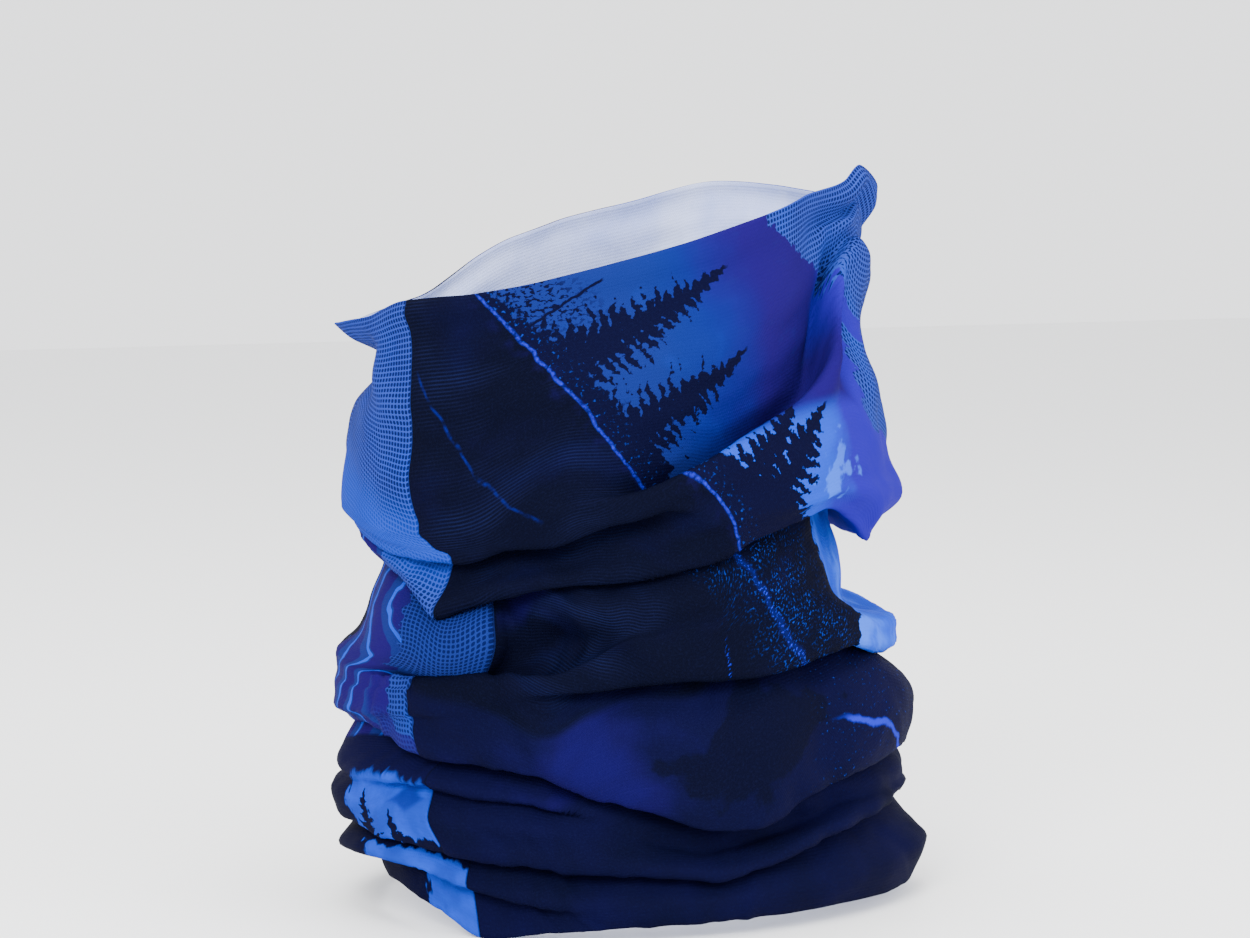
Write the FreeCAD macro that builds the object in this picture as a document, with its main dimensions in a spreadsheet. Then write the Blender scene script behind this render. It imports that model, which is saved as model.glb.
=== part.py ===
"""A neck gaiter worn down on the neck: one printed knit panel, closed into a tube by an overlocked seam.

Millimetres. +Z is up, -Y is the front (chin) and +X is the wearer's left. The origin is the centre of
the bottom rim. The tube is a plain closed wall that holds the folds of the cloth; the seam's turned-in
allowance stands on its inner face, and the four threads of the overlock stitch lie on that allowance.
"""

import FreeCAD, Part
import math
import os

import Sketcher

SHEET = "Sizes"
DIMENSIONS = {
    "ridge_half_width": 75.0,  # centre to the crest of a fold, to the side
    "ridge_half_depth": 90.0,  # centre to the crest of a fold, to the front and back
    "fold_depth": 6.0,  # crest of a fold to the valley beside it
    "wall_thickness": 4.0,  # from a valley's outer face to the inner face
    "rim_front_height": 172.0,  # top rim under the chin
    "rim_back_height": 222.0,  # top rim at the nape
    "seam_turn": 22.0,  # ellipse angle of the seam, from the front towards the wearer's left
    "allowance_width": 5.0,
    "allowance_thickness": 1.2,  # two plies of cloth turned to one side
    "allowance_root": 1.0,  # how far the allowance starts inside the wall
    "thread_width": 0.4,
    "stitch_pitch": 2.6,
    "needle_inset": 0.8,  # seam line to the first needle thread
    "needle_gap": 2.0,  # between the two needle threads
    "thread_end_gap": 1.0,  # threads end this far inside each rim
}
# Heights of the wall's cross-sections as a share of the back height, and whether each is a crest.
FOLDS = (
    (0.00, False),
    (0.06, True),
    (0.13, False),
    (0.23, True),
    (0.33, False),
    (0.41, True),
    (0.49, False),
    (0.64, True),
    (0.82, False),
    (1.05, True),
)


def make_sheet(doc):
    sheet = doc.addObject("Spreadsheet::Sheet", SHEET)
    for row, (alias, value) in enumerate(DIMENSIONS.items(), start=1):
        sheet.set(f"A{row}", alias)
        sheet.set(f"B{row}", str(value))
        sheet.setAlias(f"B{row}", alias)
    doc.recompute()
    return sheet


def origin_plane(body, role):
    return next(item for item in body.Origin.OriginFeatures if item.Role == role)


def new_sketch(body, name, role):
    sketch = body.newObject("Sketcher::SketchObject", name)
    sketch.AttachmentSupport = (origin_plane(body, role), "")
    sketch.MapMode = "FlatFace"
    return sketch


def bind(item, sizes):
    """Binds each property to its expression."""
    for prop, expression in sizes.items():
        item.setExpression(prop, expression)


def cell(alias):
    return f"{SHEET}.{alias}"


def ellipse_sketch(body, name, half_width, half_depth, height):
    """An ellipse at a height, longer to the front and back; its three sizes are expressions."""
    sketch = new_sketch(body, name, "XY_Plane")
    wide = DIMENSIONS["ridge_half_width"]
    deep = DIMENSIONS["ridge_half_depth"]
    curve = sketch.addGeometry(
        Part.Ellipse(FreeCAD.Vector(0, deep, 0), FreeCAD.Vector(wide, 0, 0), FreeCAD.Vector(0, 0, 0))
    )
    sketch.exposeInternalGeometry(curve)
    major, minor = curve + 1, curve + 2
    sketch.addConstraint(Sketcher.Constraint("Coincident", curve, 3, -1, 1))
    sketch.addConstraint(Sketcher.Constraint("PointOnObject", major, 1, -2))
    for line, label, size in ((major, "depth", deep), (minor, "width", wide)):
        index = sketch.addConstraint(Sketcher.Constraint("Distance", line, 2 * size))
        sketch.renameConstraint(index, label)
    bind(
        sketch,
        {
            "Constraints.depth": f"2 * ({half_depth})",
            "Constraints.width": f"2 * ({half_width})",
            "AttachmentOffset.Base.z": height,
        },
    )
    return sketch


def polygon(sketch, corners):
    """Closed straight outline through the corners, joined corner to corner."""
    points = [FreeCAD.Vector(x, y, 0) for x, y in corners]
    first = sketch.GeometryCount
    for start, end in zip(points, points[1:] + points[:1]):
        sketch.addGeometry(Part.LineSegment(start, end))
    last = sketch.GeometryCount - 1
    for line in range(first, last):
        sketch.addConstraint(Sketcher.Constraint("Coincident", line, 2, line + 1, 1))
    sketch.addConstraint(Sketcher.Constraint("Coincident", last, 2, first, 1))


def rectangle_sketch(body, name, role, sizes):
    """Upright rectangle; sizes gives the expressions of its left, low, width and height."""
    sketch = new_sketch(body, name, role)
    polygon(sketch, ((1, 1), (2, 1), (2, 2), (1, 2)))
    for line, kind in enumerate(("Horizontal", "Vertical", "Horizontal", "Vertical")):
        sketch.addConstraint(Sketcher.Constraint(kind, line))
    rules = (
        ("left", Sketcher.Constraint("DistanceX", -1, 1, 0, 1, 1)),
        ("low", Sketcher.Constraint("DistanceY", -1, 1, 0, 1, 1)),
        ("width", Sketcher.Constraint("DistanceX", 0, 1, 0, 2, 1)),
        ("height", Sketcher.Constraint("DistanceY", 1, 1, 1, 2, 1)),
    )
    for label, rule in rules:
        sketch.renameConstraint(sketch.addConstraint(rule), label)
    bind(sketch, {f"Constraints.{label}": sizes[label] for label, _ in rules})
    return sketch


def pad(body, name, sketch, length, reverse=False):
    feature = body.newObject("PartDesign::Pad", name)
    feature.Profile = sketch
    feature.Reversed = reverse
    feature.setExpression("Length", length)
    return feature


def seam_place(sheet):
    """The seam's place on the inner wall: local +X runs along the wall and local +Y points inwards."""
    inset = sheet.fold_depth + sheet.wall_thickness
    half_width = sheet.ridge_half_width - inset
    half_depth = sheet.ridge_half_depth - inset
    turn = math.radians(sheet.seam_turn)
    foot = FreeCAD.Vector(half_width * math.sin(turn), -half_depth * math.cos(turn), 0)
    normal = math.atan2(math.sin(turn) / half_width, math.cos(turn) / half_depth)
    return FreeCAD.Placement(foot, FreeCAD.Rotation(FreeCAD.Vector(0, 0, 1), math.degrees(normal)))


def seam_height(sheet):
    """Height of the top rim above the seam."""
    foot = seam_place(sheet).Base
    rise = sheet.rim_back_height - sheet.rim_front_height
    along = (foot.y + sheet.ridge_half_depth) / (2 * sheet.ridge_half_depth)
    return sheet.rim_front_height + rise * along


def printed_panel(doc, sheet):
    """The tube of cloth: folded outside, elliptical hollow right through, rim higher at the nape."""
    body = doc.addObject("PartDesign::Body", "printed_panel")
    crest = (cell("ridge_half_width"), cell("ridge_half_depth"))
    valley = tuple(f"{size} - {cell('fold_depth')}" for size in crest)
    inner = tuple(f"{size} - {cell('wall_thickness')}" for size in valley)

    sections = []
    for number, (share, is_crest) in enumerate(FOLDS):
        half_width, half_depth = crest if is_crest else valley
        height = f"{share} * {cell('rim_back_height')}"
        sections.append(ellipse_sketch(body, f"fold_{number}", half_width, half_depth, height))
    wall = body.newObject("PartDesign::AdditiveLoft", "wall")
    wall.Profile = sections[0]
    wall.Sections = sections[1:]
    wall.Ruled = True
    doc.recompute()

    hollow = body.newObject("PartDesign::Pocket", "hollow")
    hollow.Profile = ellipse_sketch(body, "hollow_outline", inner[0], inner[1], "0")
    hollow.Type = "ThroughAll"
    hollow.Midplane = True
    doc.recompute()

    allowance = rectangle_sketch(
        body,
        "allowance_outline",
        "XY_Plane",
        {
            "left": cell("allowance_root"),
            "low": cell("allowance_root"),
            "width": cell("allowance_width"),
            "height": f"{cell('allowance_root')} + {cell('allowance_thickness')}",
        },
    )
    root = FreeCAD.Vector(-sheet.allowance_root, -2 * sheet.allowance_root, 0)
    allowance.AttachmentOffset = seam_place(sheet).multiply(FreeCAD.Placement(root, FreeCAD.Rotation()))
    pad(body, "allowance", allowance, cell("rim_back_height"))
    doc.recompute()

    rim = body.newObject("PartDesign::Pocket", "rim")
    rim.Profile = rim_sketch(body, sheet)
    rim.Type = "ThroughAll"
    rim.Midplane = True
    doc.recompute()
    return body


def rim_sketch(body, sheet):
    """What lies above the sloping top rim, seen from the side (sketch X is the depth axis)."""
    sketch = new_sketch(body, "above_rim", "YZ_Plane")
    reach = 2 * sheet.ridge_half_depth
    middle = (sheet.rim_front_height + sheet.rim_back_height) / 2
    rise = sheet.rim_back_height - sheet.rim_front_height
    top = middle + 2 * rise
    polygon(sketch, ((-reach, middle - rise), (reach, middle + rise), (reach, top), (-reach, top)))
    for line, kind in ((1, "Vertical"), (2, "Horizontal"), (3, "Vertical")):
        sketch.addConstraint(Sketcher.Constraint(kind, line))
    centre = f"({cell('rim_front_height')} + {cell('rim_back_height')}) / 2"
    slope = f"({cell('rim_back_height')} - {cell('rim_front_height')})"
    rules = (
        ("front", Sketcher.Constraint("DistanceX", 0, 1, -1, 1, reach), f"2 * {cell('ridge_half_depth')}"),
        ("back", Sketcher.Constraint("DistanceX", -1, 1, 0, 2, reach), f"2 * {cell('ridge_half_depth')}"),
        ("front_low", Sketcher.Constraint("DistanceY", -1, 1, 0, 1, middle - rise), f"{centre} - {slope}"),
        ("back_low", Sketcher.Constraint("DistanceY", -1, 1, 0, 2, middle + rise), f"{centre} + {slope}"),
        ("top", Sketcher.Constraint("DistanceY", -1, 1, 1, 2, top), f"{centre} + 2 * {slope}"),
    )
    for label, rule, expression in rules:
        sketch.renameConstraint(sketch.addConstraint(rule), label)
        sketch.setExpression(f"Constraints.{label}", expression)
    return sketch


def thread_place(sheet, depth):
    """A thread's place: on the allowance, depth inwards from the wall."""
    offset = FreeCAD.Placement(FreeCAD.Vector(0, depth, 0), FreeCAD.Rotation())
    return seam_place(sheet).multiply(offset)


def spine(body, sheet, left):
    """A straight run of thread from rim to rim, left along the wall from the seam line."""
    run = seam_height(sheet) - 2 * sheet.thread_end_gap
    sketch = rectangle_sketch(
        body,
        f"{body.Name}_line",
        "XZ_Plane",
        {
            "left": left,
            "low": cell("thread_end_gap"),
            "width": cell("thread_width"),
            "height": f"{run}",
        },
    )
    return pad(body, f"{body.Name}_run", sketch, cell("thread_width"), reverse=True)


def needle_thread(doc, sheet, name, left):
    """One of the two straight lines of stitches that hold the plies together."""
    body = doc.addObject("PartDesign::Body", name)
    spine(body, sheet, left)
    body.Placement = thread_place(sheet, sheet.allowance_thickness)
    doc.recompute()
    return body


def looper_thread(doc, sheet, name, spine_left, bar_ends, depth):
    """A run along the seam with one slanting bar per stitch, from bar_ends[0] to bar_ends[1]."""
    body = doc.addObject("PartDesign::Body", name)
    spine(body, sheet, spine_left)
    doc.recompute()
    near, far = bar_ends
    low = 2 * sheet.thread_end_gap
    high = low + sheet.stitch_pitch / 2
    thread = sheet.thread_width
    bar = new_sketch(body, f"{name}_bar", "XZ_Plane")
    polygon(bar, ((near, low), (far, high), (far, high + thread), (near, low + thread)))
    stitch = pad(body, f"{name}_stitch", bar, cell("thread_width"), reverse=True)
    doc.recompute()
    pattern = body.newObject("PartDesign::LinearPattern", f"{name}_stitches")
    pattern.Originals = [stitch]
    pattern.Direction = (bar, ["V_Axis"])
    room = seam_height(sheet) - low - sheet.stitch_pitch - sheet.thread_end_gap
    count = int(room / sheet.stitch_pitch)
    pattern.Length = (count - 1) * sheet.stitch_pitch
    pattern.Occurrences = count
    body.Tip = pattern
    body.Placement = thread_place(sheet, depth)
    doc.recompute()
    return body


def make_threads(doc, sheet):
    """Two needle threads, and two looper threads that close the cut edge of the allowance."""
    thread = sheet.thread_width
    width = sheet.allowance_width
    inner_line = sheet.needle_inset
    outer_line = inner_line + sheet.needle_gap
    on_top = sheet.allowance_thickness
    return [
        needle_thread(doc, sheet, "needle_thread_left", f"{outer_line}"),
        needle_thread(doc, sheet, "needle_thread_right", f"{inner_line}"),
        looper_thread(
            doc,
            sheet,
            "upper_looper_thread",
            f"{width} - {cell('thread_width')}",
            (outer_line + thread, width - thread / 2),
            on_top,
        ),
        looper_thread(
            doc,
            sheet,
            "lower_looper_thread",
            f"{width}",
            (width + thread / 2, width + 2 * thread),
            on_top - 2 * thread,
        ),
    ]


def check(doc, pieces):
    for item in doc.Objects:
        if {"Invalid", "Error"} & set(item.State):
            raise RuntimeError(f"{item.Name} failed: {item.State}")
    for piece in pieces:
        shape = piece.Shape
        if shape.isNull() or not shape.isValid() or not shape.Solids:
            raise RuntimeError(f"{piece.Label} has no valid solid")


def main():
    doc = FreeCAD.newDocument("neck_gaiter")
    sheet = make_sheet(doc)
    pieces = [printed_panel(doc, sheet)] + make_threads(doc, sheet)
    doc.recompute()
    check(doc, pieces)
    os.makedirs("parts", exist_ok=True)
    for piece in pieces:
        piece.Label = piece.Name
        piece.Shape.exportStep(os.path.join("parts", f"{piece.Label}.step"))
        box = piece.Shape.BoundBox
        print(f"{piece.Label}: {len(piece.Shape.Solids)} solid, {piece.Shape.Volume:.1f} mm3, {box}")


main()
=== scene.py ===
import math
from typing import Callable, NamedTuple

import bpy
import numpy as np
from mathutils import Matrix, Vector, noise


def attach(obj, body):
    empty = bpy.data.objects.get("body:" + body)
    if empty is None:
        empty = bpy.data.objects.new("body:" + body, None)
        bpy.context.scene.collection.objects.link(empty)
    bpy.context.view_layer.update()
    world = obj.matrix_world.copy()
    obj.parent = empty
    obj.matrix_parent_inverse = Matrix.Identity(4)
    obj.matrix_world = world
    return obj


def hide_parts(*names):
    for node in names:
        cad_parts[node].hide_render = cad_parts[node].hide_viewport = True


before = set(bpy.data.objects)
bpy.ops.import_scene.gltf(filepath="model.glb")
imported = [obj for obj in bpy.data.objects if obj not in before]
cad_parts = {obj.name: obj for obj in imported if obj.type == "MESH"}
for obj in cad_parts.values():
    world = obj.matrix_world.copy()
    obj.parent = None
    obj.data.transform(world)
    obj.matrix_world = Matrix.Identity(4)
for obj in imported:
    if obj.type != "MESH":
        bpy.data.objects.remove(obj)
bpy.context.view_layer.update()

MM = 0.001

# ---------------------------------------------------------------------------------------------------
# Sizes. Angles are in degrees round the neck: 0 is the chin (-Y) and 90 the wearer's left (+X).
# Heights and offsets are in millimetres. An offset is measured outwards from the neck's own oval.
# ---------------------------------------------------------------------------------------------------
CUT_WIDTH = 490.0
CLOTH_LENGTH = 310.0  # from rim to rim over the folds that are modelled
CLOTH_THICKNESS = 0.5
COLUMNS = 340
ROWS = 260
SEAM_ANGLE = 25.0
SEAM_REACH = 42.0  # degrees over which the seam's wander fades out

OVAL_TOP = 210.0
OVAL_BOTTOM_HALF = (74.0, 88.0)  # half width, half depth
OVAL_TOP_HALF = (66.0, 80.0)
OVAL_LEAN = -9.0  # the neck leans this far towards the chin at the top

EDGE = 3.5  # height that the rounded edge of a fold takes up
LIP = 0.2  # share of that height at which the edge turns
LIP_IN = 1.5  # the turning edge lies this far inside the cloth in front
LINE_GAP = 1.0  # lines that show keep at least this far apart


def around(*points):
    """Smooth closed curve through (angle, value) points, as a function of an array of angles."""
    knots = np.array([p[0] for p in points], float)
    values = np.array([p[1] for p in points], float)
    knots = np.concatenate([knots[-2:] - 360, knots, knots[:2] + 360])
    values = np.concatenate([values[-2:], values, values[:2]])
    steps = np.diff(values) / np.diff(knots)
    slopes = np.zeros_like(values)
    same_way = steps[:-1] * steps[1:] > 0
    mean = 2 * steps[:-1] * steps[1:] / np.where(same_way, steps[:-1] + steps[1:], 1)
    slopes[1:-1] = np.where(same_way, mean, 0)

    def curve(angles):
        at = (angles - knots[1]) % 360 + knots[1]
        i = np.clip(np.searchsorted(knots, at, side="right") - 1, 0, len(knots) - 2)
        gap = knots[i + 1] - knots[i]
        t = (at - knots[i]) / gap
        rise = values[i + 1] - values[i]
        start, end = slopes[i] * gap, slopes[i + 1] * gap
        return values[i] + t * (start + t * (3 * rise - 2 * start - end + t * (start + end - 2 * rise)))

    return curve


def level(value):
    return lambda angles: np.full_like(angles, float(value))


class Fold(NamedTuple):
    """One fold round the cloth. Every field but the last is a curve of the angle."""

    z: Callable  # height of its edge
    pull: Callable  # 0 leaves the cloth smooth there, 1 folds it fully
    out: Callable  # offset of the cloth in front
    tuck: Callable  # height of the layer behind, past the edge
    depth: Callable  # how far in the layer behind reaches
    edge: float = EDGE


# The top rim, which turns up in a corner at the nape, and the cloth just below it.
RIM_Z = around(
    (-60, 177), (-20, 171), (0, 174), (16, 179), (40, 182), (65, 189), (80, 194), (100, 201.5),
    (110, 205), (120, 208.5), (130, 210.5), (139, 212.5), (147, 217), (157, 210), (164, 205),
    (180, 207), (200, 210), (218, 212), (240, 206), (270, 195)
)
RIM_OUT = around(
    (-60, -5), (-30, -3), (-20, 3), (-12, 1), (4, -4), (20, -5), (60, -4), (110, -4), (125, -5),
    (138, -4), (147, -1), (157, 4.5), (165, 2), (200, 2), (225, -4), (270, -4)
)
CUFF_OUT = around(
    (-60, -4), (-35, -5), (-20, 0), (-10, -3), (10, -3), (60, -3), (110, -4), (126, -6), (136, -3),
    (147, 1), (158, 3.5), (165, 1), (200, 3), (225, -3), (260, -3)
)
COLLAR_OUT = around(
    (-70, -6), (-45, -9), (-20, -13), (-5, -10), (8, -3), (60, -3), (110, -4), (128, -9), (140, -6),
    (152, -3), (165, -3), (200, -1), (225, -6), (260, -3)
)
FACE_OUT = around(
    (-60, -2), (-20, -4), (20, 0), (60, 1), (100, -1), (122, -7), (132, -6), (140, -2), (200, -2),
    (225, -7), (260, 0)
)

# The swag rises from the front to the nape, in front of a pocket.
SWAG = Fold(
    z=around(
        (-60, 120), (-20, 124), (20, 117), (47, 119), (59, 124), (72, 128), (85, 136), (97, 145),
        (108, 152), (119, 163), (126, 178), (131, 191), (138, 197), (150, 190), (200, 190), (218, 194),
        (226, 190), (233, 172), (245, 156), (275, 135)
    ),
    pull=around(
        (-40, 0), (45, 0), (60, 0.25), (75, 0.8), (88, 1), (130, 1), (145, 0.7), (205, 0.7), (220, 1),
        (245, 0.8), (290, 0)
    ),
    out=around(
        (-60, 1), (-20, 0), (20, 1), (60, 2), (90, 3), (118, 2), (127, 0), (140, 0), (200, 0),
        (235, 1), (270, 2)
    ),
    tuck=around(
        (0, 3), (60, 4), (76, 7), (90, 11), (125, 11), (140, 2), (205, 2), (225, 9), (270, 8)
    ),
    depth=around((0, 8), (120, 12), (145, 5), (205, 5), (225, 12)),
)
SWAG_UPPER_OUT = around((-20, 0), (60, 2), (90, 4), (115, 1), (128, -3), (150, -4), (200, 0), (270, 2))
SWAG_LOWER_OUT = around((-20, 0), (60, 2), (90, 4), (115, 3), (128, 1), (150, -0.5), (200, 2), (270, 2))

# The first fold hangs under the swag, at the front only.
FIRST = Fold(
    z=around(
        (-60, 108), (-20, 114), (6, 108), (15, 106), (31, 105), (45, 110), (58, 115), (65, 119),
        (76, 121), (84, 121), (94, 123), (120, 130), (160, 134), (220, 130), (260, 118)
    ),
    pull=around(
        (-60, 0.5), (-20, 0.8), (6, 0.7), (31, 1), (68, 1), (77, 0.5), (86, 0), (240, 0), (280, 0.7)
    ),
    out=around((-20, -2), (6, -1), (31, 1), (66, 2), (90, 3), (120, 3), (150, 2), (270, 2)),
    tuck=around((-20, 12), (42, 12), (58, 3), (84, 2), (240, 4), (300, 12)),
    depth=around((-20, 12), (0, 13), (45, 15), (62, 8), (80, 8), (300, 10)),
)
FIRST_TO_SECOND_OUT = around(
    (-20, -4), (20, -1), (40, -2), (60, -4), (76, -3), (90, 1), (120, 4), (150, 4.5), (200, 3),
    (270, 0)
)

# The second goes all the way round, over a hollow on the wearer's left.
SECOND = Fold(
    z=around(
        (-60, 98), (-20, 106), (-3, 105), (8, 102), (19, 95), (26, 89), (34, 93), (45, 97), (56, 100),
        (66, 101), (77, 103), (87, 106), (94, 110), (106, 114), (117, 118), (126, 113), (135, 106.5),
        (150, 105.5), (170, 104), (200, 106), (240, 110), (275, 100)
    ),
    pull=around((-60, 1), (40, 1), (56, 0.6), (84, 0.6), (92, 1), (250, 1)),
    out=around(
        (-20, -5), (8, -3), (30, 0), (60, -1), (90, 0), (119, 0), (135, -2), (150, -5), (200, -2),
        (270, 0)
    ),
    tuck=around((0, 6), (26, 10), (60, 6), (90, 12), (150, 15), (200, 16), (270, 12)),
    depth=around(
        (-20, 13), (10, 15), (30, 16), (60, 11), (90, 14), (125, 17), (150, 18), (200, 16), (270, 15)
    ),
)
HOLLOW_UPPER_OUT = around(
    (-20, -10), (8, -3), (20, 1), (34, 3), (39, 1), (42, -9), (50, -5), (58, -2), (72, 0), (100, -2),
    (118, -8), (135, -15), (160, -15), (200, -8), (270, -6)
)
HOLLOW_LOWER_OUT = around(
    (-20, -5), (8, 1), (20, 3), (34, 4), (39, 2), (42, -11), (50, -11), (58, -7), (68, -1), (100, 0),
    (118, -6), (135, -14), (160, -14), (200, -6), (270, -2)
)

# A short fold that stands up in front of the halftone flap.
FLAP = Fold(
    z=around(
        (-60, 72), (0, 72), (21, 74), (38, 76), (55, 76), (67, 82), (90, 86), (115, 86), (135, 79.5),
        (160, 77.5), (200, 82), (260, 82)
    ),
    pull=around((0, 0), (12, 0.2), (20, 1), (44, 1), (55, 0.6), (68, 0), (300, 0)),
    out=around((-20, 2), (21, 1), (50, 0), (70, 1), (100, 1), (125, 0), (150, 0), (270, 0)),
    tuck=around((0, 7), (30, 7), (42, 3), (60, 2)),
    depth=around((0, 6), (25, 8), (45, 9), (60, 6)),
)

# The third fold and the wide smooth band under it.
THIRD = Fold(
    z=around(
        (-60, 60), (0, 64), (29, 67), (46, 69), (58, 70), (77, 72), (89, 72), (104, 74), (114, 76),
        (131, 78.5), (150, 72), (200, 70), (260, 66)
    ),
    pull=around(
        (-60, 0.6), (-20, 0), (20, 0), (46, 0.1), (62, 0.6), (75, 0.9), (90, 1), (230, 1), (290, 0.7)
    ),
    out=around((-20, 3), (21, 1), (50, 0), (70, 1), (100, 1), (125, 0), (150, -2), (270, 0)),
    tuck=around((0, 10), (95, 10), (112, 4), (170, 4), (200, 14), (260, 14)),
    depth=level(15),
)
BAND_UPPER_OUT = around((-20, 1), (20, 0), (50, -1), (80, 1), (110, 2), (140, 2), (200, 1), (270, 1))
BAND_LOWER_OUT = around((-20, -1), (20, 0), (50, 1), (80, 3), (110, 4), (140, 4.5), (200, 2), (270, 1))

FOURTH = Fold(
    z=around(
        (-60, 52), (-7, 58), (5, 55), (21, 50), (39, 48), (48, 46), (58, 41), (69, 37), (83, 30),
        (92, 31), (107, 38), (119, 42), (138, 43.5), (200, 40), (260, 38), (290, 46)
    ),
    pull=level(1),
    out=around((-20, -2), (20, 0), (60, 2), (84, 4), (110, 3), (140, 2), (200, 1), (270, 0)),
    tuck=around((-20, 5), (0, 6), (60, 11), (84, 13), (120, 12), (180, 14), (270, 12)),
    depth=around((-20, 7), (10, 12), (84, 15), (140, 11), (270, 13)),
)

# A short crease at the front.
CREASE = Fold(
    z=around(
        (-60, 38), (0, 41), (21, 41), (37, 39), (51, 37), (62, 34), (83, 27), (100, 30), (120, 36),
        (150, 36), (200, 34), (260, 32)
    ),
    pull=around((-40, 0.3), (0, 0.1), (18, 0.8), (48, 0.9), (62, 0), (250, 0), (290, 0.6)),
    out=around(
        (-20, 2), (20, -1), (60, -3), (84, -7), (110, -5), (135, -1), (150, -1), (200, -3), (270, -2)
    ),
    tuck=level(5),
    depth=level(9),
    edge=2.5,
)
CREASE_TO_FIFTH_OUT = around(
    (-20, 4), (10, 1), (40, -1), (84, -3), (110, -2), (135, 0), (150, 0), (200, -1), (270, 1)
)

FIFTH = Fold(
    z=around(
        (-60, 25), (-9, 27), (5, 25), (16, 24), (26, 23), (43, 21), (54, 19), (70, 18), (83, 16),
        (92, 18), (106, 24), (118, 27), (146, 29), (200, 22), (260, 22)
    ),
    pull=around((-60, 0.9), (60, 0.9), (90, 0.9), (110, 0.8), (150, 0.8), (260, 0.9)),
    out=around((-20, 3), (20, 0), (60, 0), (84, 2), (110, 2), (146, -1), (200, 0), (270, 0)),
    tuck=level(7),
    depth=level(12),
    edge=3.0,
)

# A short fold above the bottom rim.
LOWEST = Fold(
    z=around(
        (-60, 15), (-24, 15.5), (3, 18.5), (18, 17), (32, 13), (45, 10), (53, 9), (62, 9), (90, 10),
        (150, 14), (200, 12), (260, 12)
    ),
    pull=around((-20, 0.9), (40, 0.8), (62, 0), (300, 0.3)),
    out=around(
        (-20, 2), (5, 0), (20, -2), (60, 0), (90, 1), (130, 3), (150, 5), (165, 2), (200, 0), (270, -1)
    ),
    tuck=level(4),
    depth=level(8),
    edge=2.0,
)

BOTTOM_Z = around(
    (-40, 12), (-20, 10), (3, 10.5), (14, 9), (25, 6), (36, 0.3), (50, 3), (86, 5), (134, 4.5),
    (200, 3), (260, 4), (300, 8)
)
BOTTOM_OUT = around(
    (-25, -13), (3, -9), (20, -5), (35, -2), (60, -1), (134, 0), (155, 0), (200, -3), (260, -5),
    (300, -9)
)


def oval(angles, heights, out):
    """Points of the neck's oval at these angles and heights, pushed outwards."""
    share = np.clip(heights / OVAL_TOP, 0, 1.1)
    half_x = OVAL_BOTTOM_HALF[0] + (OVAL_TOP_HALF[0] - OVAL_BOTTOM_HALF[0]) * share
    half_y = OVAL_BOTTOM_HALF[1] + (OVAL_TOP_HALF[1] - OVAL_BOTTOM_HALF[1]) * share
    turn = np.radians(angles)
    x, y = half_x * np.sin(turn), -half_y * np.cos(turn)
    nx, ny = np.sin(turn) / half_x, -np.cos(turn) / half_y
    size = np.hypot(nx, ny)
    return np.stack([x + out * nx / size, y + out * ny / size + OVAL_LEAN * share, heights], axis=-1)


def drift(columns, seam_at):
    """Angles of the columns where the seam lies at seam_at."""
    away = (columns - SEAM_ANGLE + 180) % 360 - 180
    return columns + (seam_at - SEAM_ANGLE) * np.exp(-((away / SEAM_REACH) ** 2))


class Profile:
    """Collects the lines that each column of cloth passes, from the top rim down."""

    def __init__(self):
        self.columns = np.arange(COLUMNS) * 360.0 / COLUMNS + SEAM_ANGLE
        self.points = []
        self.lowest = np.full(COLUMNS, np.inf)

    def add(self, height, out, seam_at):
        """A line that shows. It stays a little below the lines before it."""
        angles = drift(self.columns, seam_at)
        self.lowest = np.minimum(height(angles), self.lowest - LINE_GAP)
        self.points.append(oval(angles, self.lowest, out(angles)))

    def add_hidden(self, height, out, seam_at):
        """A line at the back of a fold, at any height."""
        angles = drift(self.columns, seam_at)
        z = height(angles)
        self.points.append(oval(angles, z, out(angles)))
        return z

    def drop(self, fold, seam_at, seam_under):
        """Bulges out, turns under at the fold's edge and climbs into a valley behind."""
        z, pull, out, tuck, depth, edge = fold
        self.add(lambda a: z(a) + edge, out, seam_at)
        self.add(lambda a: z(a) + LIP * edge * pull(a), lambda a: out(a) - LIP_IN * pull(a), seam_at)
        valley = self.add_hidden(
            lambda a: z(a) + tuck(a) * pull(a) - edge * (1 - pull(a)),
            lambda a: out(a) * (1 - pull(a)) - depth(a) * pull(a),
            seam_under,
        )
        self.lowest = np.minimum(self.lowest, valley)

    def rise(self, fold, seam_behind, seam_at):
        """Runs down into a pocket, then climbs to a crest that stands in front of it."""
        z, pull, out, tuck, depth, edge = fold
        self.add_hidden(
            lambda a: z(a) + edge * (1 - pull(a)) - tuck(a) * pull(a),
            lambda a: out(a) * (1 - pull(a)) - depth(a) * pull(a),
            seam_behind,
        )
        self.add(lambda a: z(a) - LIP * edge * pull(a), lambda a: out(a) - LIP_IN * pull(a), seam_at)
        self.add(lambda a: z(a) - edge, out, seam_at)


def below(curve, drop):
    return lambda a: curve(a) - drop


def between(upper, lower, share, above=0.0, below=EDGE):
    """Part of the way down from one line to the next, less the heights that their own folds take up."""
    return lambda a: (upper(a) - above) * (1 - share) + (lower(a) + below) * share


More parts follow.
